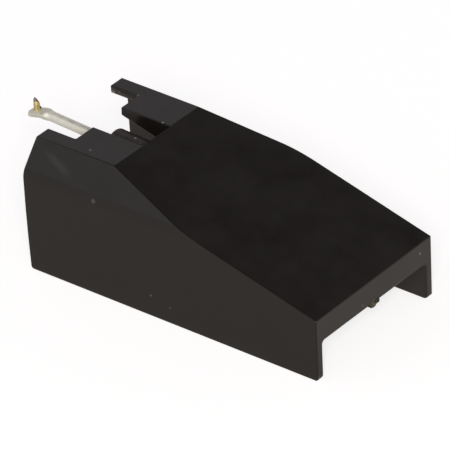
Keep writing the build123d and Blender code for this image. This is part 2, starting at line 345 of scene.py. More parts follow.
def makeHolderPlastic(s):
    # ABS moulded in a fine-ground tool: black through and through, satin, with a slight ripple and a
    # fine tooth that soften the reflections; the broken gate, the dust and a painted highlight show lighter.
    # The real tooth is about 0.02 mm, and is drawn at 0.16 mm so that it shows at all
    material, tree = newMaterial("mouldedAbs")
    place = addNode(tree, "ShaderNodeTexCoord").outputs["Object"]
    tooth = addNode(tree, "ShaderNodeTexNoise", {
        "Scale": 1 / (s["grain"] * mm), "Detail": 2.0, "Roughness": 0.6, "Vector": place})
    ripple = addNode(tree, "ShaderNodeTexNoise", {
        "Scale": 1 / (s["ripple"] * mm), "Detail": 1.0, "Vector": place})
    cloud = addNode(tree, "ShaderNodeTexNoise", {
        "Scale": 1 / (s["cloud"] * mm), "Detail": 4.0, "Roughness": 0.65, "Vector": place}).outputs["Fac"]

    # painted highlight: a soft lighter streak along a line on the near bevel
    start, end = Vector(s["paintedHighlightFrom"]) * mm, Vector(s["paintedHighlightTo"]) * mm
    along, half = (end - start).normalized(), (end - start).length / 2
    fromMiddle = addNode(tree, "ShaderNodeVectorMath", {
        "operation": "SUBTRACT", 0: place, 1: (start + end) / 2})
    travel = addNode(tree, "ShaderNodeVectorMath", {"operation": "DOT_PRODUCT", 0: fromMiddle, 1: along})
    travel = addNode(tree, "ShaderNodeMath", {"operation": "ABSOLUTE", 0: travel.outputs["Value"]})
    apart = addNode(tree, "ShaderNodeVectorMath", {"operation": "CROSS_PRODUCT", 0: fromMiddle, 1: along})
    apart = addNode(tree, "ShaderNodeVectorMath", {"operation": "LENGTH", 0: apart})
    across = addNode(tree, "ShaderNodeMapRange", {
        "interpolation_type": "SMOOTHSTEP", "Value": apart.outputs["Value"],
        "From Min": 0.0, "From Max": s["paintedHighlightWidth"] * mm, "To Min": 1.0, "To Max": 0.0})
    lengthwise = addNode(tree, "ShaderNodeMapRange", {
        "interpolation_type": "SMOOTHSTEP", "Value": travel,
        "From Min": half * s["paintedHighlightFade"][0], "From Max": half * s["paintedHighlightFade"][1],
        "To Min": 1.0, "To Max": 0.0})
    paintedHighlight = addNode(tree, "ShaderNodeMath", {"operation": "MULTIPLY", 0: across, 1: lengthwise})
    paintedHighlight = addNode(tree, "ShaderNodeMath", {"operation": "MULTIPLY", 0: paintedHighlight, 1: cloud})

    # gate: stress-whitened round the break, in an uneven patch
    toGate = addNode(tree, "ShaderNodeVectorMath", {
        "operation": "DISTANCE", 0: place, 1: Vector(s["gate"]) * mm}).outputs["Value"]
    ragged = addNode(tree, "ShaderNodeTexNoise", {
        "Scale": 1 / (s["gateGrain"] * mm), "Detail": 3.0, "Roughness": 0.7, "Vector": place})
    uneven = addNode(tree, "ShaderNodeMath", {
        "operation": "MULTIPLY_ADD", 0: ragged.outputs["Fac"], 1: s["gateRagged"] * mm, 2: toGate})
    broken = addNode(tree, "ShaderNodeMapRange", {
        "interpolation_type": "SMOOTHSTEP", "Value": uneven, "From Min": s["gateReach"] * mm,
        "From Max": (s["gateReach"] + s["gateFade"]) * mm, "To Min": s["gateStrength"], "To Max": 0.0})

    dust = addDust(tree, place, s["specks"])
    shade = addNode(tree, "ShaderNodeMix", {
        "data_type": "RGBA", 0: cloud, 6: hexColor(s["color"]), 7: hexColor(s["paleColor"])}).outputs[2]
    # mixed in lighter: the painted highlight streak, the gate break and the dust
    for mask, color in ((paintedHighlight, s["paintedHighlightColor"]), (broken, s["gateColor"]), (dust, s["speckColor"])):
        shade = addNode(tree, "ShaderNodeMix", {
            "data_type": "RGBA", 0: mask, 6: shade, 7: hexColor(color)}).outputs[2]
    marks = addNode(tree, "ShaderNodeMath", {"operation": "ADD", 0: broken, 1: dust})
    rough = addNode(tree, "ShaderNodeMapRange", {
        "Value": cloud, "From Min": 0.3, "From Max": 0.7,
        "To Min": s["roughness"] - s["roughnessSpread"], "To Max": s["roughness"] + s["roughnessSpread"]})
    rough = addNode(tree, "ShaderNodeMath", {
        "operation": "MULTIPLY_ADD", 0: marks, 1: s["markRoughness"], 2: rough})
    wave = addNode(tree, "ShaderNodeBump", {
        "Distance": s["rippleDepth"] * mm, "Height": ripple.outputs["Fac"]})
    fine = addNode(tree, "ShaderNodeBump", {
        "Distance": s["grainDepth"] * mm, "Height": tooth.outputs["Fac"], "Normal": wave})
    shader = addNode(tree, "ShaderNodeBsdfPrincipled", {
        "IOR": 1.5, "Base Color": shade, "Roughness": rough, "Normal": fine})
    addNode(tree, "ShaderNodeOutputMaterial", {"Surface": shader})
    return material


def makeHolder(s, material):
    mesh, bm = mergedMesh("moulded_holder", "holder", s["flatAngle"])
    sharp = [e for e in bm.edges
             if e.is_manifold and e.is_convex and e.calc_face_angle() > math.radians(s["sharpAngle"])]
    bmesh.ops.bevel(bm, geom=sharp, offset=s["rounding"] * mm, offset_type="OFFSET", segments=2, profile=0.5,
                    affect="EDGES", clamp_overlap=False)
    foot, top = (height * mm for height in s["stubHeights"])
    # the torn stub is a piece of its own, so the plain block is pushed back into the lip
    for vert in bm.verts:
        x, y, z = vert.co
        if x > s["stubFrom"] * mm and abs(y) < s["stubHalf"] * mm and foot < z < top:
            vert.co.z = top
    lo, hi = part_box("holder")
    for vert in bm.verts:  # the bevel may step out of the CAD box where many edges meet
        vert.co = [min(max(c, a), b) for c, a, b in zip(vert.co, lo, hi)]
    smoothMesh(bm, mesh, s["creaseAngle"])
    piece = newPiece("moulded_holder", mesh, material)
    flat = piece.modifiers.new("flatFaces", "WEIGHTED_NORMAL")
    flat.mode, flat.weight, flat.keep_sharp = "FACE_AREA", 50, True
    finishPiece(piece, "holder_body", "holder_plastic", "holder")


plastic = makeHolderPlastic(holder)
makeHolder(holder, plastic)


# gate break: the torn stub that the snapped-off runner left under the rear lip

gateBreak = dict(
    low=(12.14, -0.42, 2.25), high=(12.40, 0.42, 2.50),  # mm
    ball=0.42, ballShare=0.5,  # mm, the ball that its corners are drawn in towards, and how far
    cuts=15, tear=0.13, tearSize=0.14, creaseAngle=30,  # mm, depth and size of the torn bits; degrees
)


def makeGateBreak(s, material):
    # noise_vector starts at an offset that the clock sets, and isn't seeded here, so the torn bits and
    # the stub's outline differ a little from run to run
    bm = bmesh.new()
    sizes = [b - a for a, b in zip(s["low"], s["high"])]
    centre = Vector([(a + b) / 2 for a, b in zip(s["low"], s["high"])])
    bmesh.ops.create_cube(bm, size=1)
    bmesh.ops.subdivide_edges(bm, edges=bm.edges, cuts=s["cuts"], use_grid_fill=True)
    for vert in bm.verts:
        spot = Vector([c * size for c, size in zip(vert.co, sizes)])
        rounded = spot.normalized() * min(spot.length, s["ball"])
        spot = spot.lerp(rounded, s["ballShare"]) + centre
        push = noise.noise_vector(spot / s["tearSize"]) * s["tear"]
        vert.co = (spot + push) * mm
    lo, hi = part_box("holder")
    for vert in bm.verts:
        vert.co = [min(max(c, a), b) for c, a, b in zip(vert.co, lo, hi)]
    bmesh.ops.recalc_face_normals(bm, faces=bm.faces)
    mesh = bpy.data.meshes.new("gate_break")
    smoothMesh(bm, mesh, s["creaseAngle"])
    finishPiece(newPiece("gate_break", mesh, material), "holder_body", "holder_plastic")


makeGateBreak(gateBreak, plastic)


# cantilever: aluminium tube, pressed flat and bent down at its front end

cantilever = dict(
    bladeEnd=-12.4020, tail=-3.640, bend=(-11.3078, 6.6992), tubeSlope=3.1, bladeSlope=14.5,  # mm and degrees
    tubeRadius=0.31, boreRadius=0.21, boreLength=6.6, bladeHalfWide=0.47, bladeHalfHigh=0.18,  # mm
    pressFrom=-11.34, pressTo=-10.62, bendBlend=0.07,  # mm
    widthPace=1.8, heightPace=0.9,  # powers, so that the height is full before the width has gone
    squareness=0.62, crowding=1.7,  # powers, of the blade's section and of the rows towards the blade
    rows=128, boreRows=32, sides=56, crispAngle=40,  # counts, and degrees
    color="#fbfdf2", stainColor="#edefe3", roughness=0.42, roughnessSpread=0.07,
    metalShare=(0.66, 0.30), lineShade=0.92,  # of the bare and the oxidised patches; how dark the lines go
    dieLine=0.045, dieDepth=0.0016, dieLength=3.0, cloud=0.5,  # mm
    # painted highlight: a near-white spot beside the bend
    paintedGlint=(-10.95, -0.28, 6.84), paintedGlintRadius=0.19, paintedGlintCore=0.5, paintedGlintColor="#fffff8",  # mm
    # the blade, from just behind the bend to its end, is coloured a little darker than the tube
    bladeDarkerColor="#efeeeb", bladeDarkerFade=(-11.0, -10.75),  # mm
)


def makeDrawnAluminium(s):
    # aluminium drawn through a die and left bare: a grey-white satin metal with fine lengthwise lines,
    # which smear highlights round the tube, and a dull oxide bloom in patches.
    # The real lines are about 0.005 mm apart, and are drawn at 0.045 mm
    material, tree = newMaterial("drawnAluminium")
    place = addNode(tree, "ShaderNodeTexCoord").outputs["Object"]
    stretch = addNode(tree, "ShaderNodeMapping", {
        "Vector": place, "Scale": (s["dieLine"] / s["dieLength"], 1, 1)})
    lines = addNode(tree, "ShaderNodeTexNoise", {
        "Scale": 1 / (s["dieLine"] * mm), "Detail": 3.0, "Roughness": 0.7, "Vector": stretch}).outputs["Fac"]
    bloom = addNode(tree, "ShaderNodeTexNoise", {
        "Scale": 1 / (s["cloud"] * mm), "Detail": 5.0, "Roughness": 0.6, "Vector": place}).outputs["Fac"]
    shade = addNode(tree, "ShaderNodeMix", {
        "data_type": "RGBA", 0: bloom, 6: hexColor(s["color"]), 7: hexColor(s["stainColor"])})
    streaks = addNode(tree, "ShaderNodeMapRange", {
        "Value": lines, "From Min": 0.3, "From Max": 0.7, "To Min": s["lineShade"], "To Max": 1.0})
    shade = addNode(tree, "ShaderNodeVectorMath", {
        "operation": "SCALE", 0: shade.outputs[2], "Scale": streaks})
    rough = addNode(tree, "ShaderNodeMapRange", {
        "Value": bloom, "From Min": 0.3, "From Max": 0.7,
        "To Min": s["roughness"] - s["roughnessSpread"], "To Max": s["roughness"] + s["roughnessSpread"]})
    bare = addNode(tree, "ShaderNodeMapRange", {
        "Value": bloom, "From Min": 0.35, "From Max": 0.65,
        "To Min": s["metalShare"][0], "To Max": s["metalShare"][1]})
    # the blade is coloured a little darker than the tube, fading in just behind the bend
    along = addNode(tree, "ShaderNodeSeparateXYZ", {0: place}).outputs["X"]
    bladeDarker = addNode(tree, "ShaderNodeMapRange", {
        "interpolation_type": "SMOOTHSTEP", "Value": along, "From Min": s["bladeDarkerFade"][0] * mm,
        "From Max": s["bladeDarkerFade"][1] * mm, "To Min": 1.0, "To Max": 0.0})
    shade = addNode(tree, "ShaderNodeMix", {
        "data_type": "RGBA", "blend_type": "MULTIPLY", 0: bladeDarker, 6: shade,
        7: hexColor(s["bladeDarkerColor"])}).outputs[2]
    # painted highlight: one spot beside the bend is painted near white and made less metallic
    away = addNode(tree, "ShaderNodeVectorMath", {
        "operation": "DISTANCE", 0: place, 1: Vector(s["paintedGlint"]) * mm}).outputs["Value"]
    spot = addNode(tree, "ShaderNodeMapRange", {
        "interpolation_type": "SMOOTHSTEP", "Value": away,
        "From Min": s["paintedGlintRadius"] * s["paintedGlintCore"] * mm, "From Max": s["paintedGlintRadius"] * mm,
        "To Min": 1.0, "To Max": 0.0})
    shade = addNode(tree, "ShaderNodeMix", {
        "data_type": "RGBA", 0: spot, 6: shade, 7: hexColor(s["paintedGlintColor"])}).outputs[2]
    bare = addNode(tree, "ShaderNodeMath", {"operation": "SUBTRACT", "use_clamp": True, 0: bare, 1: spot})
    bump = addNode(tree, "ShaderNodeBump", {"Distance": s["dieDepth"] * mm, "Height": lines})
    shader = addNode(tree, "ShaderNodeBsdfPrincipled", {
        "Metallic": bare, "Base Color": shade, "Roughness": rough, "Normal": bump})
    addNode(tree, "ShaderNodeOutputMaterial", {"Surface": shader})
    return material


def makePressedTube(s, inputs):
    # a grid whose long way runs along the outside from the blade end to the tail, and back up the bore
    rows, back = s["rows"], s["boreRows"]
    tree, given = newTree("pressedTube", inputs)
    grid = addNode(tree, "GeometryNodeMeshGrid", {
        "Size X": 1 + back / rows, "Size Y": 1.0,
        "Vertices X": rows + back + 1, "Vertices Y": s["sides"] + 1})
    spot = addNode(tree, "ShaderNodeSeparateXYZ", {0: addNode(tree, "GeometryNodeInputPosition")})
    march = addNode(tree, "ShaderNodeMath", {
        "operation": "ADD", 0: spot.outputs["X"], 1: (1 + back / rows) / 2})
    outward = addNode(tree, "ShaderNodeMath", {"operation": "MINIMUM", 0: march, 1: 1.0})
    outward = addNode(tree, "ShaderNodeMath", {"operation": "POWER", 0: outward, 1: s["crowding"]})
    inward = addNode(tree, "ShaderNodeMapRange", {
        "Value": march, "From Min": 1 + 1 / rows, "From Max": 1 + back / rows, "To Min": 0.0, "To Max": 1.0})
    inBore = addNode(tree, "ShaderNodeMath", {"operation": "GREATER_THAN", 0: march, 1: 1 + 0.5 / rows})

    length = addNode(tree, "ShaderNodeMath", {
        "operation": "SUBTRACT", 0: given["tail"], 1: given["bladeEnd"]})
    travel = addNode(tree, "ShaderNodeMath", {"operation": "MULTIPLY", 0: outward, 1: length})
    turned = addNode(tree, "ShaderNodeMath", {"operation": "MULTIPLY", 0: inward, 1: given["boreLength"]})
    travel = addNode(tree, "ShaderNodeMath", {"operation": "SUBTRACT", 0: travel, 1: turned})
    x = addNode(tree, "ShaderNodeMath", {"operation": "ADD", 0: given["bladeEnd"], 1: travel})

    # middle line: the tube's line and the blade's line, blended where they meet at the bend
    fromBend = addNode(tree, "ShaderNodeMath", {"operation": "SUBTRACT", 0: x, 1: given["bendX"]})
    tubeLine = addNode(tree, "ShaderNodeMath", {"operation": "MULTIPLY", 0: fromBend, 1: given["tubeRise"]})
    bladeLine = addNode(tree, "ShaderNodeMath", {"operation": "MULTIPLY", 0: fromBend, 1: given["bladeRise"]})
    middle = addNode(tree, "ShaderNodeMath", {
        "operation": "SMOOTH_MIN", 0: tubeLine, 1: bladeLine, 2: given["bendBlend"]})
    middle = addNode(tree, "ShaderNodeMath", {"operation": "ADD", 0: middle, 1: given["bendZ"]})

    # half width and half height: round ends, flat blade, then the tube
    tubeShare = addNode(tree, "ShaderNodeMapRange", {
        "interpolation_type": "SMOOTHSTEP", "Value": x,
        "From Min": given["pressFrom"], "From Max": given["pressTo"], "To Min": 0.0, "To Max": 1.0})
    halves = []
    for flat, pace in (("bladeHalfWide", s["widthPace"]), ("bladeHalfHigh", s["heightPace"])):
        t = addNode(tree, "ShaderNodeMath", {"operation": "DIVIDE", 0: travel, 1: given[flat]})
        t = addNode(tree, "ShaderNodeMath", {"operation": "MINIMUM", 0: t, 1: 1.0})
        t = addNode(tree, "ShaderNodeMath", {"operation": "MULTIPLY_ADD", 0: t, 1: -1.0, 2: 1.0})
        t = addNode(tree, "ShaderNodeMath", {"operation": "MULTIPLY", 0: t, 1: t})
        t = addNode(tree, "ShaderNodeMath", {"operation": "SUBTRACT", 0: 1.0, 1: t})
        t = addNode(tree, "ShaderNodeMath", {"operation": "SQRT", 0: t})
        t = addNode(tree, "ShaderNodeMath", {"operation": "MULTIPLY", 0: t, 1: given[flat]})
        share = addNode(tree, "ShaderNodeMath", {"operation": "POWER", 0: tubeShare, 1: pace})
        halves.append(addNode(tree, "ShaderNodeMix", {0: share, 2: t, 3: given["tubeRadius"]}))
    toEnd = addNode(tree, "ShaderNodeMath", {"operation": "SUBTRACT", 0: given["boreLength"], 1: turned})
    q = addNode(tree, "ShaderNodeMath", {"operation": "DIVIDE", 0: toEnd, 1: given["boreRadius"]})
    q = addNode(tree, "ShaderNodeMath", {"operation": "MINIMUM", 0: q, 1: 1.0})
    q = addNode(tree, "ShaderNodeMath", {"operation": "SQRT", 0: q})
    bore = addNode(tree, "ShaderNodeMath", {"operation": "MULTIPLY", 0: q, 1: given["boreRadius"]})
    halfWide, halfHigh = (addNode(tree, "ShaderNodeMix", {0: inBore, 2: h, 3: bore}) for h in halves)

    # round the section: full and flat-sided on the blade, a circle on the tube
    power = addNode(tree, "ShaderNodeMapRange", {
        "Value": tubeShare, "To Min": s["squareness"], "To Max": 1.0})
    turn = addNode(tree, "ShaderNodeMath", {"operation": "MULTIPLY", 0: spot.outputs["Y"], 1: 2 * math.pi})
    sides = []
    for wave in ("COSINE", "SINE"):
        w = addNode(tree, "ShaderNodeMath", {"operation": wave, 0: turn})
        sign = addNode(tree, "ShaderNodeMath", {"operation": "SIGN", 0: w})
        size = addNode(tree, "ShaderNodeMath", {"operation": "ABSOLUTE", 0: w})
        size = addNode(tree, "ShaderNodeMath", {"operation": "POWER", 0: size, 1: power})
        sides.append(addNode(tree, "ShaderNodeMath", {"operation": "MULTIPLY", 0: sign, 1: size}))
    y = addNode(tree, "ShaderNodeMath", {"operation": "MULTIPLY", 0: sides[0], 1: halfWide})
    z = addNode(tree, "ShaderNodeMath", {"operation": "MULTIPLY_ADD", 0: sides[1], 1: halfHigh, 2: middle})

    placed = addNode(tree, "ShaderNodeCombineXYZ", {"X": x, "Y": y, "Z": z})
    shell = addNode(tree, "GeometryNodeSetPosition", {"Geometry": grid, "Position": placed})
    shell = addNode(tree, "GeometryNodeMergeByDistance", {"Geometry": shell, "Distance": weldGap})
    angle = addNode(tree, "GeometryNodeInputMeshEdgeAngle").outputs["Unsigned Angle"]
    crisp = addNode(tree, "FunctionNodeCompare", {
        "operation": "GREATER_THAN", "A": angle, "B": math.radians(s["crispAngle"])})
    shell = addNode(tree, "GeometryNodeSetShadeSmooth", {
        "domain": "EDGE", "Geometry": shell, "Selection": crisp, "Shade Smooth": False})
    whole = addNode(tree, "GeometryNodeRealizeInstances", {"Geometry": shell})
    whole = addNode(tree, "GeometryNodeSetMaterial", {"Geometry": whole, "Material": given["material"]})
    addNode(tree, "NodeGroupOutput", {"Mesh": whole})
    return tree


def makeCantilever(s):
    piece = newPiece("pressed_cantilever", bpy.data.meshes.new("pressed_cantilever"))
    lengths = ("bladeEnd", "tail", "tubeRadius", "boreRadius", "boreLength", "bladeHalfWide", "bladeHalfHigh",
               "pressFrom", "pressTo", "bendBlend")
    values = {name: s[name] * mm for name in lengths}
    values["bendX"], values["bendZ"] = (c * mm for c in s["bend"])
    values["tubeRise"] = -math.tan(math.radians(s["tubeSlope"]))
    values["bladeRise"] = math.tan(math.radians(s["bladeSlope"]))
    inputs = {name: "Float" for name in values} | {"material": "Material"}
    values["material"] = makeDrawnAluminium(s)
    runTree(makePressedTube(s, inputs), piece, values)
    finishPiece(piece, "stylus_arm", "cantilever_aluminium", "cantilever")


makeCantilever(cantilever)


# stylus: gilt pin through the blade, diamond on its head, resin round its foot

stylus = dict(
    foot=(-11.8597, 6.3465), shoulder=7.1865,  # mm, x and z, and z
    headTop=(-11.9497, 7.3865), apex=(-11.9947, 7.5265),  # mm, x and z
    pinRadius=0.185, headRadius=0.112, apexRadius=0.018, sides=64,  # mm, and a count
    chamfer=0.03, edgeRing=(0.4, 0.3), straightLess=1.5,  # mm, and shares of the chamfer
    flank=1.35, ballShare=0.55,  # power that fills the diamond's flanks; depth of its end ball, in its radii
    wireRings=12, headRings=8, flankRings=10, ballRings=5,  # rings of points along each stretch
    glueFoot=6.632, glueLean=14.5, glueRadius=0.30, glueHeight=0.14,  # mm and degrees
    glueRim=0.02, glueOverlap=0.004,  # mm, how thick it is at its rim, and how far it runs into the pin
    glueRise=2.2, glueReach=0.8, glueRings=10,  # powers of the fillet's curve
    wobble=0.13, wobblePace=1.7, wobbleRise=3,  # share of the radius, and how fast it changes round and up
    glueDrop=(-11.80, 0.24, 6.815), glueDropRadius=0.065, dropRings=12, dropSides=24,  # mm, on the far side
)

gilt = dict(
    gold="#e9dfab", tan="#d8c892", brown="#988553", stops=(0.20, 0.52, 0.90),
    stripes=(0.36, 0.64, 0.03, 0.74),  # from and to of the noise, and of the place on the ramp
    line=0.05, lineLength=1.2, lineDepth=0.0015, roughness=0.70,  # mm
    braze=0.10, brazeColor="#3d3126",  # mm
)

diamond = dict(
    color="#453c2b", paleColor="#6a5f45", roughness=0.35, transmission=0.05, index=2.417,
    ring=0.03, ringDepth=0.001, ringSpread=0.15, tone=0.09,  # mm, and how little the rings change sideways
)

resin = dict(
    color="#d2d0c6", shadeColor="#b3b1a4", darkColor="#23271a", roughness=0.32, clear=0.06, index=1.55,
    bubble=0.09, bubbleDepth=0.004, swirl=0.12,  # mm
    dropFade=(0.9, 1.6),  # radii of the drop between which its dark fades
)


def makeGiltPin(s, headZ):
    # gilt brass wire, cut and ground to a cone at the top: worn to a satin pale yellow with lengthwise
    # lines that go tan and brown, so the narrow pin looks striped. Real lines are finer, and are drawn
    # at 0.05 mm
    material, tree = newMaterial("giltPin")
    place = addNode(tree, "ShaderNodeTexCoord").outputs["Object"]
    stretch = addNode(tree, "ShaderNodeMapping", {
        "Vector": place, "Scale": (1, 1, s["line"] / s["lineLength"])})
    lines = addNode(tree, "ShaderNodeTexNoise", {
        "Scale": 1 / (s["line"] * mm), "Detail": 2.0, "Roughness": 0.6, "Vector": stretch}).outputs["Fac"]
    noiseFrom, noiseTo, rampFrom, rampTo = s["stripes"]
    stripes = addNode(tree, "ShaderNodeMapRange", {
        "Value": lines, "From Min": noiseFrom, "From Max": noiseTo, "To Min": rampFrom, "To Max": rampTo})
    ramp = addNode(tree, "ShaderNodeValToRGB", {"Fac": stripes})
    stops = ramp.color_ramp.elements
    stops[0].position, stops[0].color = s["stops"][0], hexColor(s["gold"])
    stops[1].position, stops[1].color = s["stops"][2], hexColor(s["brown"])
    middle = stops.new(s["stops"][1])
    middle.color = hexColor(s["tan"])
    # the braze that holds the diamond has darkened the top of the cone
    height = addNode(tree, "ShaderNodeSeparateXYZ", {0: place}).outputs["Z"]
    brazed = addNode(tree, "ShaderNodeMapRange", {
        "interpolation_type": "SMOOTHSTEP", "Value": height, "From Min": (headZ - s["braze"]) * mm,
        "From Max": headZ * mm, "To Min": 0.0, "To Max": 1.0})
    shade = addNode(tree, "ShaderNodeMix", {
        "data_type": "RGBA", 0: brazed, 6: ramp.outputs["Color"], 7: hexColor(s["brazeColor"])})
    bump = addNode(tree, "ShaderNodeBump", {"Distance": s["lineDepth"] * mm, "Height": lines})
    shader = addNode(tree, "ShaderNodeBsdfPrincipled", {
        "Metallic": 1.0, "Roughness": s["roughness"], "Base Color": shade.outputs[2], "Normal": bump})
    addNode(tree, "ShaderNodeOutputMaterial", {"Surface": shader})
    return material


def makeDiamond(s):
    # natural diamond ground to a cone: very high index, brown-grey body, ground rings round the tip that
    # break up its flashes. The real rings are under 0.001 mm, and are drawn at 0.03 mm
    material, tree = newMaterial("groundDiamond")
    place = addNode(tree, "ShaderNodeTexCoord").outputs["Object"]
    squash = addNode(tree, "ShaderNodeMapping", {
        "Vector": place, "Scale": (s["ringSpread"], s["ringSpread"], 1)})
    rings = addNode(tree, "ShaderNodeTexNoise", {
        "Scale": 1 / (s["ring"] * mm), "Detail": 1.0, "Vector": squash}).outputs["Fac"]
    tone = addNode(tree, "ShaderNodeTexNoise", {
        "Scale": 1 / (s["tone"] * mm), "Detail": 2.0, "Vector": place}).outputs["Fac"]
    shade = addNode(tree, "ShaderNodeMix", {
        "data_type": "RGBA", 0: tone, 6: hexColor(s["color"]), 7: hexColor(s["paleColor"])})
    bump = addNode(tree, "ShaderNodeBump", {"Distance": s["ringDepth"] * mm, "Height": rings})
    shader = addNode(tree, "ShaderNodeBsdfPrincipled", {
        "IOR": s["index"], "Transmission Weight": s["transmission"], "Roughness": s["roughness"],
        "Base Color": shade.outputs[2], "Normal": bump})
    addNode(tree, "ShaderNodeOutputMaterial", {"Surface": shader})
    return material


def makeResin(s, dropSpot, dropRadius):
    # epoxy, run round the foot of the pin by a needle: cloudy and a little dull with a faint yellow-green
    # cast, a few bubbles, and one drop on the far side that is coloured dark
    material, tree = newMaterial("epoxyBead")
    place = addNode(tree, "ShaderNodeTexCoord").outputs["Object"]
    bubbles = addNode(tree, "ShaderNodeTexVoronoi", {
        "Scale": 1 / (s["bubble"] * mm), "Vector": place}).outputs["Distance"]
    swirl = addNode(tree, "ShaderNodeTexNoise", {
        "Scale": 1 / (s["swirl"] * mm), "Detail": 3.0, "Vector": place}).outputs["Fac"]
    away = addNode(tree, "ShaderNodeVectorMath", {
        "operation": "DISTANCE", 0: place, 1: Vector(dropSpot) * mm}).outputs["Value"]
    drop = addNode(tree, "ShaderNodeMapRange", {
        "interpolation_type": "SMOOTHSTEP", "Value": away,
        "From Min": dropRadius * s["dropFade"][0] * mm, "From Max": dropRadius * s["dropFade"][1] * mm,
        "To Min": 1.0, "To Max": 0.0})
    pale = addNode(tree, "ShaderNodeMix", {
        "data_type": "RGBA", 0: swirl, 6: hexColor(s["color"]), 7: hexColor(s["shadeColor"])})
    shade = addNode(tree, "ShaderNodeMix", {
        "data_type": "RGBA", 0: drop, 6: pale.outputs[2], 7: hexColor(s["darkColor"])})
    clear = addNode(tree, "ShaderNodeMapRange", {"Value": drop, "To Min": s["clear"], "To Max": 0.0})
    bump = addNode(tree, "ShaderNodeBump", {"Distance": s["bubbleDepth"] * mm, "Height": bubbles})
    shader = addNode(tree, "ShaderNodeBsdfPrincipled", {
        "IOR": s["index"], "Roughness": s["roughness"], "Transmission Weight": clear,
        "Base Color": shade.outputs[2], "Normal": bump})
    addNode(tree, "ShaderNodeOutputMaterial", {"Surface": shader})
    return material


def makePin(s):
    footX, footZ = s["foot"]
    headX, headZ = s["headTop"]
    r, c = s["pinRadius"], s["chamfer"]
    edgeUp, edgeIn = s["edgeRing"]
    pin = [(footX, 0, footZ, 0), (footX, 0, footZ, r - c),
           (footX, 0, footZ + c * edgeUp, r - c * edgeIn), (footX, 0, footZ + c, r)]
    straight, count = s["shoulder"] - footZ - s["straightLess"] * c, s["wireRings"]
    pin += [(footX, 0, footZ + c + straight * k / count, r) for k in range(1, count + 1)]
    for k in range(1, s["headRings"] + 1):
        t = k / s["headRings"]
        pin.append((footX + (headX - footX) * t, 0, s["shoulder"] + (headZ - s["shoulder"]) * t,
                    r + (s["headRadius"] - r) * t))
    pin.append((headX, 0, headZ, 0))
    piece = newPiece("gilt_pin", ringStack("gilt_pin", pin, s["sides"]), makeGiltPin(gilt, headZ))
    finishPiece(piece, "stylus_arm", "shank_gilt", "stylus_shank")


def makeTip(s):
    # the diamond's end is a small ball between the flanks
    headX, headZ = s["headTop"]
    apexX, apexZ = s["apex"]
    tip = [(headX, 0, headZ, 0), (headX, 0, headZ, s["headRadius"])]
    ballZ = apexZ - s["apexRadius"] * s["ballShare"]
    for k in range(1, s["flankRings"] + 1):
        t = k / s["flankRings"]
        tip.append((headX + (apexX - headX) * t, 0, headZ + (ballZ - headZ) * t,
                    s["headRadius"] + (s["apexRadius"] - s["headRadius"]) * t ** s["flank"]))
    for k in range(1, s["ballRings"]):
        turn = math.pi / 2 * k / s["ballRings"]
        tip.append((apexX, 0, ballZ + (apexZ - ballZ) * math.sin(turn), s["apexRadius"] * math.cos(turn)))
    tip.append((apexX, 0, apexZ, 0))
    piece = newPiece("ground_diamond", ringStack("ground_diamond", tip, s["sides"]), makeDiamond(diamond))
    finishPiece(piece, "stylus_arm", "tip_diamond", "stylus_tip")


def makeResinBead(s):
    # a fillet with an uneven rim, built level and then leaned with the blade, and the drop beside it
    def wobble(turn, z):
        pace = s["wobblePace"]
        spot = Vector((pace * math.cos(turn), pace * math.sin(turn), z * s["wobbleRise"]))
        return 1 + s["wobble"] * noise.noise(spot)

    rim, height, reach = s["glueRim"], s["glueHeight"], s["glueRadius"]
    fillet = [(0, 0, 0.0, 0), (0, 0, 0.0, reach)]
    for k in range(1, s["glueRings"] + 1):
        t = k / s["glueRings"]  # hollow curve from the rim up to the pin
        inward = s["pinRadius"] - s["glueOverlap"] - reach
        fillet.append((0, 0, rim + (height - rim) * t ** s["glueRise"], reach + inward * t ** s["glueReach"]))
    fillet.append((0, 0, height, 0))
    mesh = ringStack("resin_bead", fillet, s["sides"], wobble)
    lean = Matrix.Rotation(math.radians(-s["glueLean"]), 4, "Y")
    mesh.transform(Matrix.Translation(Vector((s["foot"][0], 0, s["glueFoot"])) * mm) @ lean)
    dropX, dropY, dropZ = s["glueDrop"]
    radius, count = s["glueDropRadius"], s["dropRings"]
    ball = [(dropX, dropY, dropZ - radius * math.cos(math.pi * k / count),
             radius * math.sin(math.pi * k / count) if 0 < k < count else 0) for k in range(count + 1)]
    drop = ringStack("drop", ball, s["dropSides"])
    bm = bmesh.new()
    bm.from_mesh(mesh)
    bm.from_mesh(drop)
    bm.to_mesh(mesh)
    bm.free()
    bpy.data.meshes.remove(drop)
    piece = newPiece("resin_bead", mesh, makeResin(resin, s["glueDrop"], radius))
    finishPiece(piece, "stylus_arm", "glue_resin", "glue_bead")


makePin(stylus)
makeTip(stylus)
makeResinBead(stylus)


# damper: moulded rubber ring, crowned outside and waisted inside so that it can rock in the sleeve

damper = dict(
    pivot=(-5.5044, 0, 6.3848), lean=3.1, halfLength=0.45,  # mm and degrees
    outer=0.687, inner=0.323, rock=3.5, corner=0.10,  # mm, and degrees that the ring has to rock
    halfRings=8, cornerRings=5, sides=64,  # counts
    color="#161514", pale="#2b2a28", metal=0.0, roughness=0.72, grain=0.06, depth=0.004, stretch=(1, 1, 1),
)


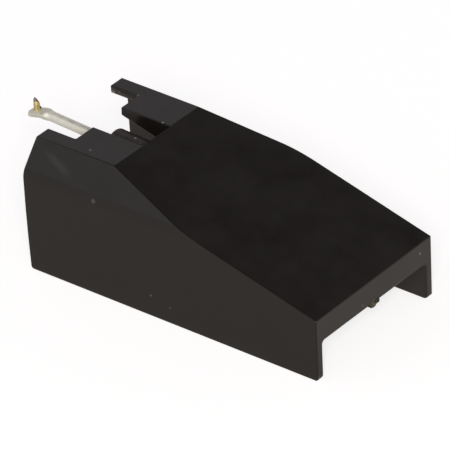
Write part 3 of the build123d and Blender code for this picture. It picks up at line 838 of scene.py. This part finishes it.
def makeDamper(s, material):
    slope = math.tan(math.radians(s["rock"]))
    half, corner = s["halfLength"], s["corner"]
    outside, inside = [], []
    for k in range(-s["halfRings"], s["halfRings"] + 1):
        a = (half - corner) * k / s["halfRings"]
        outside.append((a, s["outer"] - abs(a) * slope))
        a = half * k / s["halfRings"]
        inside.append((a, s["inner"] + abs(a) * slope))
    edge = outside[-1][1] - corner
    for k in range(1, s["cornerRings"] + 1):  # quarter round from the crown to the flat face
        turn = math.pi / 2 * k / s["cornerRings"]
        a, r = half - corner + corner * math.sin(turn), edge + corner * math.cos(turn)
        outside.append((a, r))
        outside.insert(0, (-a, r))
    rings = [(0, 0, a, r) for a, r in outside + inside[::-1]]
    mesh = ringStack("rubber_damper", rings, s["sides"], closed=True)
    axis = Vector((math.cos(math.radians(s["lean"])), 0, -math.sin(math.radians(s["lean"]))))
    turned = Vector((0, 0, 1)).rotation_difference(axis).to_matrix().to_4x4()
    mesh.transform(Matrix.Translation(Vector(s["pivot"]) * mm) @ turned)
    finishPiece(newPiece("rubber_damper", mesh, material), "suspension", "damper_rubber", "damper")


# sleeve, magnet, bushes and wire: welded copies of the CAD pieces, each with its own material

cloudSize = 0.6  # mm, of the uneven tone on the damper and these pieces
innerFlat = 0.05  # degrees, faces that turn by less are merged

inner = {  # node: body, slot, and how the material is built, with grain and depth in mm
    "sleeve": dict(body="holder_body", slot="sleeve_plastic", color="#2c2826", pale="#383431", metal=0.0,
                   roughness=0.42, grain=0.10, depth=0.0025, stretch=(1, 1, 1), speckColor="#8b8982",
                   specks=[(-4.628, 0.05, 7.321, 0.10, 1.0), (-4.118, -0.177, 7.278, 0.08, 0.4)]),
    "magnet": dict(body="stylus_arm", slot="magnet_alloy", color="#8d8983", pale="#a9a49c", metal=1.0,
                   roughness=0.34, grain=0.05, depth=0.0015, stretch=(1, 0.15, 0.15)),
    "wire_bush": dict(body="stylus_arm", slot="bush_brass", color="#c3a45e", pale="#d8bd7a", metal=1.0,
                      roughness=0.26, grain=0.03, depth=0.0012, stretch=(1, 0.05, 0.05)),
    "wire_anchor": dict(body="holder_body", slot="bush_brass", color="#b99a56", pale="#d2b672", metal=1.0,
                        roughness=0.28, grain=0.04, depth=0.0015, stretch=(1, 0.05, 0.05)),
    "tie_wire": dict(body="holder_body", slot="wire_steel", color="#b4b3b1", pale="#cfcecb", metal=1.0,
                     roughness=0.20, grain=0.02, depth=0.0006, stretch=(0.03, 1, 1)),
}


def makeInnerMaterial(name, s):
    # sleeve: moulded nylon, dull black with a soft tooth; damper: moulded rubber, matt and bloomed;
    # magnet: sintered and ground alloy, grey with rings round its axis; bush and anchor: turned brass with
    # tool rings; wire: drawn spring steel with lengthwise lines. The stretch lays the grain along or round
    # the x axis. Real lines and tooth are finer than these, and are drawn at the grain sizes given
    material, tree = newMaterial(name + "Finish")
    place = addNode(tree, "ShaderNodeTexCoord").outputs["Object"]
    laid = addNode(tree, "ShaderNodeMapping", {"Vector": place, "Scale": s["stretch"]})
    grain = addNode(tree, "ShaderNodeTexNoise", {
        "Scale": 1 / (s["grain"] * mm), "Detail": 3.0, "Roughness": 0.65, "Vector": laid}).outputs["Fac"]
    cloud = addNode(tree, "ShaderNodeTexNoise", {
        "Scale": 1 / (cloudSize * mm), "Detail": 4.0, "Vector": place}).outputs["Fac"]
    tone = addNode(tree, "ShaderNodeMath", {"operation": "MULTIPLY_ADD", 0: grain, 1: 0.5, 2: cloud})
    share = addNode(tree, "ShaderNodeMapRange", {"Value": tone, "From Min": 0.5, "From Max": 1.0})
    shade = addNode(tree, "ShaderNodeMix", {
        "data_type": "RGBA", 0: share, 6: hexColor(s["color"]), 7: hexColor(s["pale"])})
    rough = addNode(tree, "ShaderNodeMapRange", {
        "Value": cloud, "From Min": 0.3, "From Max": 0.7,
        "To Min": s["roughness"] * 0.85, "To Max": s["roughness"] * 1.2})
    bump = addNode(tree, "ShaderNodeBump", {"Distance": s["depth"] * mm, "Height": grain})
    shade = shade.outputs[2]
    if "specks" in s:
        dust = addDust(tree, place, s["specks"])
        shade = addNode(tree, "ShaderNodeMix", {
            "data_type": "RGBA", 0: dust, 6: shade, 7: hexColor(s["speckColor"])}).outputs[2]
    shader = addNode(tree, "ShaderNodeBsdfPrincipled", {
        "Metallic": s["metal"], "Base Color": shade, "Roughness": rough, "Normal": bump})
    addNode(tree, "ShaderNodeOutputMaterial", {"Surface": shader})
    return material


makeDamper(damper, makeInnerMaterial("damper", damper))
for name, s in inner.items():
    mesh, bm = mergedMesh("finished_" + name, name, innerFlat)
    smoothMesh(bm, mesh, creaseAngle)
    finishPiece(newPiece("finished_" + name, mesh, makeInnerMaterial(name, s)), s["body"], s["slot"], name)


lo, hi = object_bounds()
past = [[round((b - a) / mm, 4) for a, b in zip(p, q)] for p, q in zip(cadBox, (lo, hi))]
print("visual box against CAD box in mm:", past)
